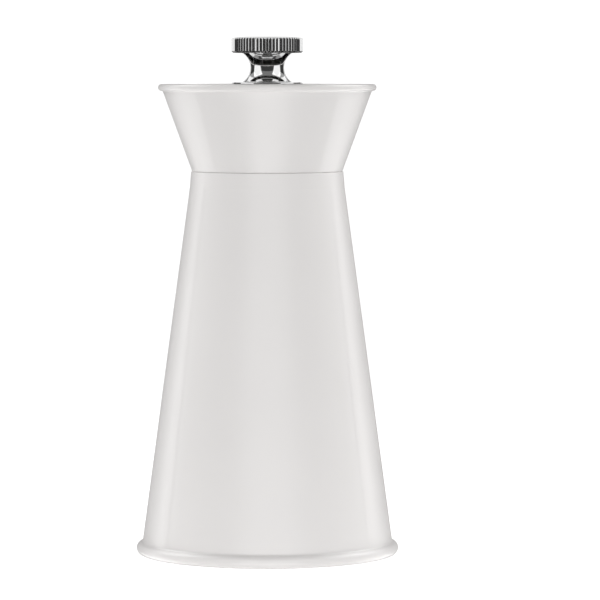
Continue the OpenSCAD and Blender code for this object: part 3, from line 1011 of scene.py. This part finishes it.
def spring():
    """Round wire in a helix with a closed turn at each end."""
    wire, centre_r, count, sides, steps = 0.8, 4.95, 5.5, 16, 48
    bottom, top = low("spring").z, high("spring").z
    closed = wire * 1.06
    opened = (top - bottom - wire - 2 * closed) / (count - 2)
    t = np.arange(round(count * steps) + 1) / steps
    height = np.interp(
        t, [0, 1, count - 1, count], np.cumsum([0, closed, opened * (count - 2), closed])
    )
    height += bottom + wire / 2
    # both ends of the wire are dubbed off round
    from_end = np.minimum(t, t[-1] - t) * 2 * np.pi * centre_r
    size = wire / 2 * np.sqrt(1 - (1 - np.clip(from_end / 0.35, 0, 1)) ** 2 * 0.999)
    k = np.arange(sides) * 2 * np.pi / sides
    radius = centre_r + size[:, None] * np.cos(k)
    places = polar(radius, t[:, None] * 2 * np.pi, height[:, None] + size[:, None] * np.sin(k))
    item = grid("spring", places[:, ::-1])
    finish_piece(item, "spring")
    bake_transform(item)


def flat_ring(node, inner):
    """Washer with broken edges."""
    outer, bottom, top = high(node).x, low(node).z, high(node).z
    lathe(
        node,
        [(inner, bottom, 0.08), (outer, bottom, 0.12), (outer, top, 0.12), (inner, top, 0.08)],
        around=96,
    )


def retaining_clip():
    """E-clip: an open ring with a relief on each side of its middle tongue."""
    inner, outer, relief_r, relief_at = 1.55, 3.6, 0.7, 1.9
    gap = math.asin(inner / outer)
    rim = [
        (outer * math.cos(a), outer * math.sin(a)) for a in np.linspace(gap, 2 * math.pi - gap, 61)
    ]
    throat = []
    for a in np.linspace(270, 90, 73):
        r = inner
        for place in (125, 235):
            off = math.radians(a - place)
            room = relief_r**2 - (relief_at * math.sin(off)) ** 2
            if room > 0 and math.cos(off) > 0:
                r = max(r, relief_at * math.cos(off) + math.sqrt(room))
        throat.append((r * math.cos(math.radians(a)), r * math.sin(math.radians(a))))
    bottom, top = low("retaining_clip").z, high("retaining_clip").z
    finish_piece(plate("retaining_clip", [rim + throat], bottom, top, 0.08), "retaining_clip")


# ---------------------------------------------------------------- pieces inside the head


def head_core():
    """Spigot with a seal groove, floor, hub and rim ring, with six ribs and three screw bosses."""
    bottom, shoulder, floor = low("head_core").z, BODY_TOP + 0.1, BODY_TOP + 2.95
    hub_top, rib_top, groove_z = high("head_core").z, low("head_top_plate").z - 0.15, bottom + 3.1
    flange_z = HEAD_BOTTOM + SHEET + 0.05
    flange_r = 21.07
    body = turned(
        "head_core",
        [
            (17.2, bottom, 0.25),
            (19.15, bottom, 0.5),
            (19.15, groove_z - 0.65, 0.08),
            (18.1, groove_z - 0.65, 0.1),
            (18.1, groove_z + 0.65, 0.1),
            (19.15, groove_z + 0.65, 0.08),
            (19.15, shoulder, 0.1),
            (20.1, shoulder, 0.1),
            (20.1, flange_z, 0.1),
            (flange_r, flange_z, 0.15),
            (flange_r, floor, 0.25),
            (7.4, floor, 0.6),
            (7.4, hub_top, 0.25),
            (4.7, hub_top, 0.25),
            (4.7, shoulder, 0.25),
            (17.2, shoulder, 0.5),
        ],
    )
    wall = 0.367
    ribs = webs(
        6,
        [
            (7, floor - 0.4),
            (20.95 + wall * 1.7, floor - 0.4),
            (20.95 + wall * (rib_top - 1 - flange_z), rib_top - 1),
            (27, rib_top),
            (7, rib_top),
        ],
        1.4,
    )
    ring = turned(
        "ring",
        [
            (24.5, rib_top - 2, 0.2),
            (26.3, rib_top - 2, 0.2),
            (26.3, rib_top, 0.2),
            (24.5, rib_top, 0.2),
        ],
    )
    boss = plate("boss", [circle(3.2), circle(1.55)], floor - 0.3, floor + 5.5, 0.25)
    bosses = copies(boss, [turn @ out_along(11.5) for turn in turns(3, 30)])
    finish_piece(joined("head_core", body, ring, *ribs, *bosses), "head_core")


def head_seal():
    half = (high("head_seal").z - low("head_seal").z) / 2
    middle, centre_r = low("head_seal").z + half, high("head_seal").x - half
    lathe("head_seal", [(centre_r + x * half, middle + y * half, half) for x, y in CORNERS])


def drive_plate():
    outlines = [circle(15.5, count=144), square(6.3, 0.15), *ring_of_circles(3, 1.65, 11.5, 30)]
    item = plate("drive_plate", outlines, low("drive_plate").z, high("drive_plate").z, 0.2)
    finish_piece(item, "drive_plate")


def drive_plate_screws():
    seat = low("drive_plate").z - 0.05
    places = [turn @ out_along(11.5, seat) for turn in turns(3, 30)]
    screws = copies(screw(2.7, 1.6, 1.5, 8.2), places)
    finish_piece(joined("drive_plate_screws", *screws), "drive_plate_screws")


for build in (
    body_shell, head_shell, head_top_plate, knob_washer, knob,
    neck_ring, hopper_liner, hopper_funnel, base_insert, foot_pad,
    grinder_housing, clamp_ring, crossbar, crossbar_screws, housing_screws, drive_bush, rotor_hub,
    stator_ring, rotor, spindle, spring, retaining_clip,
    head_core, head_seal, drive_plate, drive_plate_screws,
):
    build()
flat_ring("spring_washer", 4.45)
flat_ring("end_washer", 2.1)


# ---------------------------------------------------------------- stage, light and camera

TABLE_R = 0.45  # the lit part of the floor, beyond which only the camera sees white
FLOOR = (0.9, 0.9, 0.9)
FLOOR_FAR = (0.03, 0.03, 0.03)
FLOOR_GLOW = 0.85  # added to the lit floor for the camera
WHITE_GROUND = 1.1  # what the camera sees of the far floor and the studio, a little over white
ROOM = 0.05  # what everything else sees of the studio
AIM = Vector((0, 0, 0.075))
RIGHT_GAIN = 1.07  # of the right side's edge lamps over the left side's
# name, azimuth, elevation, width and radiance of the edge lamps on each side
EDGE_LAMPS = (
    ("edge", 116, 4, 0.45, 2.1),
    ("edge_low", 116, -32, 0.45, 2.1),
    ("back_low", 138, -32, 0.45, 3.3),
    ("edge_high", 116, 42, 1.2, 4.6),
)
# name, azimuth, elevation, distance, width, height and radiance of what the chrome mirrors
MIRRORED_PANELS = (
    ("back_wall", 180, 5, 1.6, 2.6, 1.1, 0.8),
    ("ceiling_back", 180, 50, 1.5, 2.6, 1.0, 0.7),
    ("ceiling_left", -120, 45, 1.5, 1.4, 1.2, 0.35),
    ("ceiling_right", 120, 45, 1.5, 1.4, 1.2, 0.35),
    ("ceiling_front", 0, 48, 1.5, 2.6, 1.15, 0.16),
    ("ceiling_top", 0, 88, 1.3, 0.9, 0.9, 0.75),
)


def stage_floor():
    half = 6.0
    mesh = bpy.data.meshes.new("stage_floor")
    mesh.from_pydata(
        [(-half, -half, 0), (half, -half, 0), (half, half, 0), (-half, half, 0)], [], [(0, 1, 2, 3)]
    )
    floor = link_new("stage_floor", mesh)
    made = Finish("stage_white", FLOOR, 0.9, Specular_IOR_Level=0.1)
    length = made.node("ShaderNodeVectorMath", operation="LENGTH")
    made.link(made.coords, length.inputs[0])
    far = made.span(length.outputs["Value"], TABLE_R * 0.8, TABLE_R * 1.3, 0, 1)
    made.color(made.ramp(far, (0, FLOOR), (1, FLOOR_FAR)))
    glow = made.node("ShaderNodeMath", operation="MULTIPLY")
    made.link(made.span(far, 0, 1, FLOOR_GLOW, WHITE_GROUND), glow.inputs[0])
    made.link(made.node("ShaderNodeLightPath").outputs["Is Camera Ray"], glow.inputs[1])
    made.shader.inputs["Emission Color"].default_value = (1, 1, 1, 1)
    made.link(glow.outputs["Value"], made.shader.inputs["Emission Strength"])
    floor.data.materials.append(made.material)
    return floor


def world():
    """White to the camera, and a dim room to everything else."""
    made = bpy.data.worlds.new("studio")
    bpy.context.scene.world = made
    made.use_nodes = True
    tree = made.node_tree
    tree.nodes.clear()
    room = tree.nodes.new("ShaderNodeBackground")
    room.inputs["Color"].default_value = (1, 1, 1, 1)
    room.inputs["Strength"].default_value = ROOM
    white = tree.nodes.new("ShaderNodeBackground")
    white.inputs["Strength"].default_value = WHITE_GROUND
    white.inputs["Color"].default_value = (1, 1, 1, 1)
    path = tree.nodes.new("ShaderNodeLightPath")
    mix = tree.nodes.new("ShaderNodeMixShader")
    tree.links.new(path.outputs["Is Camera Ray"], mix.inputs["Fac"])
    tree.links.new(room.outputs[0], mix.inputs[1])
    tree.links.new(white.outputs[0], mix.inputs[2])
    tree.links.new(mix.outputs[0], tree.nodes.new("ShaderNodeOutputWorld").inputs["Surface"])


def lamp(name, azimuth, elevation, distance, width, height, radiance, keep_off):
    """Area light that looks at the mill and lights all but the pieces in keep_off.

    Azimuth is counted from the camera's side, towards +X, and radiance is what a mirror would see.
    """
    data = bpy.data.lights.new(name, "AREA")
    data.shape = "RECTANGLE"
    data.size, data.size_y = width, height
    data.energy = radiance * math.pi * width * height
    item = link_new(name, data)
    a, e = math.radians(azimuth), math.radians(elevation)
    away = Vector((math.sin(a) * math.cos(e), -math.cos(a) * math.cos(e), math.sin(e)))
    item.location = AIM + away * distance
    item.rotation_euler = away.to_track_quat("Z", "Y").to_euler()
    item.visible_camera = False
    unlit = bpy.data.collections.new(name + "_unlit")
    for piece in keep_off:
        unlit.objects.link(piece)
    for entry in unlit.collection_objects:
        entry.light_linking.link_state = "EXCLUDE"
    item.light_linking.receiver_collection = unlit
    return item


def lights(floor):
    """Frontal and edge light on the shell, panels for the chrome to mirror, and overhead light."""
    floor.visible_shadow = floor.visible_glossy = False
    pieces = [o for o in bpy.data.objects if o.type == "MESH" and o is not floor]
    chromed = [o for o in pieces if o.get("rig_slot") == "bright_chrome"]
    painted = [o for o in pieces if o.get("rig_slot") == "shell_paint"]
    plate_top = [o for o in painted if o.name == "visual_head_top_plate"]
    plate_top[0].visible_glossy = False
    all_but_plate = [o for o in pieces if o not in plate_top]
    lamp("table_light", 0, 88, 1.3, 1.2, 1.2, 3.2, pieces)
    lamp("overhead", 0, 88, 1.3, 0.9, 0.9, 6.5, painted + chromed + [floor])
    lamp("plate_light", 0, 88, 1.2, 2.6, 2.6, 1.3, all_but_plate + [floor])
    lamp("front", 0, 14, 1.5, 1.5, 1.5, 1.75, chromed + [floor])
    lamp("front_low", 0, -32, 1.5, 1.2, 0.8, 4.4, chromed + [floor])
    for side, name, gain in ((-1, "left_", 1.0), (1, "right_", RIGHT_GAIN)):
        for place, azimuth, elevation, width, radiance in EDGE_LAMPS:
            lamp(
                name + place, side * azimuth, elevation, 1.5, width, 0.8, radiance * gain,
                chromed + plate_top + [floor],
            )
        softbox = lamp(name + "softbox", side * 70, 20, 1.0, 1.0, 1.2, 1.06, painted + [floor])
        softbox.visible_diffuse = False
    for panel in MIRRORED_PANELS:
        lamp(*panel, painted + [floor]).visible_diffuse = False


def camera():
    """Long lens, a little above the middle of the mill and looking slightly down."""
    down, aside = 3.43, -0.486
    data = bpy.data.cameras.new("camera")
    data.sensor_width = 36
    data.lens = 231.2
    item = link_new("camera", data)
    item.location = (0, -1.113, 0.1406)
    item.rotation_euler = (math.radians(90 - down), 0, math.radians(aside))
    bpy.context.scene.camera = item


world()
lights(stage_floor())
camera()
bpy.context.scene.view_settings.view_transform = "Standard"
